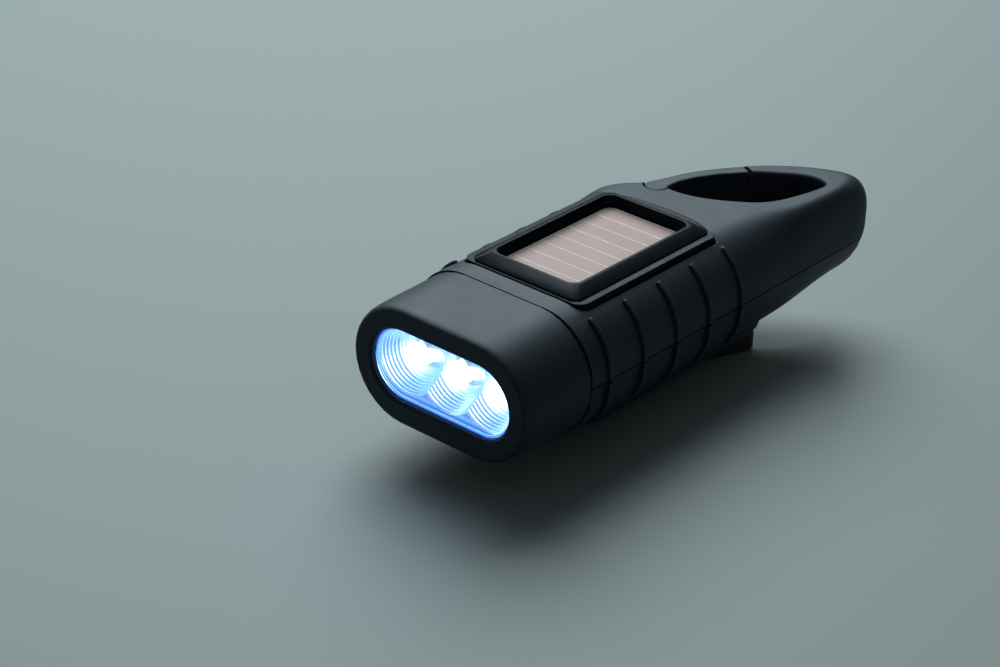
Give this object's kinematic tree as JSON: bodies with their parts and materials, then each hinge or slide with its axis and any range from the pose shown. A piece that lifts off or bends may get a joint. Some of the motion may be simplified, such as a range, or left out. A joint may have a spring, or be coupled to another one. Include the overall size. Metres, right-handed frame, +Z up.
{
  "type": "hand crank flashlight",
  "caption": "Hand crank flashlight with a slot-shaped lamp window, a solar panel on top, a fold-out crank underneath and a carabiner tail with a sprung gate.",
  "frame": {"origin": "centre of the bounding box's bottom, on the flat underside of the folded crank arm", "axes": "+Z up from the crank to the solar panel, -Y out of the lamp window, +Y to the carabiner tail, +X to the straight side of the tail"},
  "size_m": [0.0494, 0.121, 0.0378],
  "materials": {
    "soft_black": "soft matt moulding with a faint blue-grey sheen",
    "gloss_black": "satin black moulding",
    "crank_black": "matt black moulding",
    "cell_pink": "solar cell with fine pale grid lines",
    "clear_plastic": "clear polished",
    "chrome": "vacuum metallised",
    "led_white": "lit water-clear lamp",
    "board_green": "solder resist",
    "steel": "zinc plated",
    "nylon_white": "moulded nylon",
    "copper": "enamelled winding"
  },
  "bodies": {
    "housing": {"upper_shell": "soft_black", "lower_shell": "soft_black", "head_cap": "soft_black", "lens": "clear_plastic", "reflector": "chrome", "led_1": "led_white", "led_2": "led_white", "led_3": "led_white", "led_board": "board_green", "solar_frame": "gloss_black", "solar_cell": "cell_pink", "gear_plate": "nylon_white", "generator_stator": "copper", "battery": "steel", "main_board": "board_green", "switch_body": "gloss_black", "screw_front_right": "steel", "screw_front_left": "steel", "screw_rear_right": "steel", "screw_rear_left": "steel", "first_axle": "steel", "second_axle": "steel", "gate_pin": "steel"},
    "crank": {"drive_gear": "nylon_white", "crank_arm": "crank_black", "crank_screw": "steel", "knob_pin": "steel"},
    "knob": {"knob_post": "steel"},
    "sleeve": {"knob_sleeve": "crank_black"},
    "first_idler_gear": {"first_idler": "nylon_white"},
    "second_idler_gear": {"second_idler": "nylon_white"},
    "generator_rotor": {"rotor": "steel"},
    "gate": {"carabiner_gate": "soft_black"},
    "button": {"push_button": "gloss_black"}
  },
  "joints": [
    {"name": "crank_spin", "type": "hinge", "parent": "housing", "child": "crank", "pos_m": [0, -0.0185, 0], "axis": [0, 0, 1], "continuous": true},
    {"name": "knob_fold", "type": "hinge", "parent": "crank", "child": "knob", "pos_m": [0, 0.025, 0.00245], "axis": [1, 0, 0], "range_deg": [0, 90]},
    {"name": "knob_spin", "type": "hinge", "parent": "knob", "child": "sleeve", "pos_m": [0, 0.025, 0.00245], "axis": [0, 1, 0], "continuous": true},
    {"name": "first_idler_spin", "type": "hinge", "parent": "housing", "child": "first_idler_gear", "pos_m": [0.00571, -0.0004, 0.0218], "axis": [0, 0, 1], "continuous": true},
    {"name": "second_idler_spin", "type": "hinge", "parent": "housing", "child": "second_idler_gear", "pos_m": [-0.00855, 0.00451, 0.0218], "axis": [0, 0, 1], "continuous": true},
    {"name": "rotor_spin", "type": "hinge", "parent": "housing", "child": "generator_rotor", "pos_m": [-0.00825, -0.00707, 0.0218], "axis": [0, 0, 1], "continuous": true},
    {"name": "gate_pivot", "type": "hinge", "parent": "housing", "child": "gate", "pos_m": [-0.00919, 0.0215, 0.0218], "axis": [0, 0, -1], "range_deg": [0, 25], "stiffness_Nm_per_rad": 0.05, "springref_deg": -11.46},
    {"name": "button_press", "type": "slide", "parent": "housing", "child": "button", "axis": [0, 0, 1], "range_m": [0, 0.001], "stiffness_N_per_m": 150, "springref_m": -0.001}
  ],
  "couplings": [
    {"joint": "first_idler_spin", "follows": "crank_spin", "ratio": -3.5},
    {"joint": "second_idler_spin", "follows": "crank_spin", "ratio": 14},
    {"joint": "rotor_spin", "follows": "crank_spin", "ratio": -50.4}
  ]
}
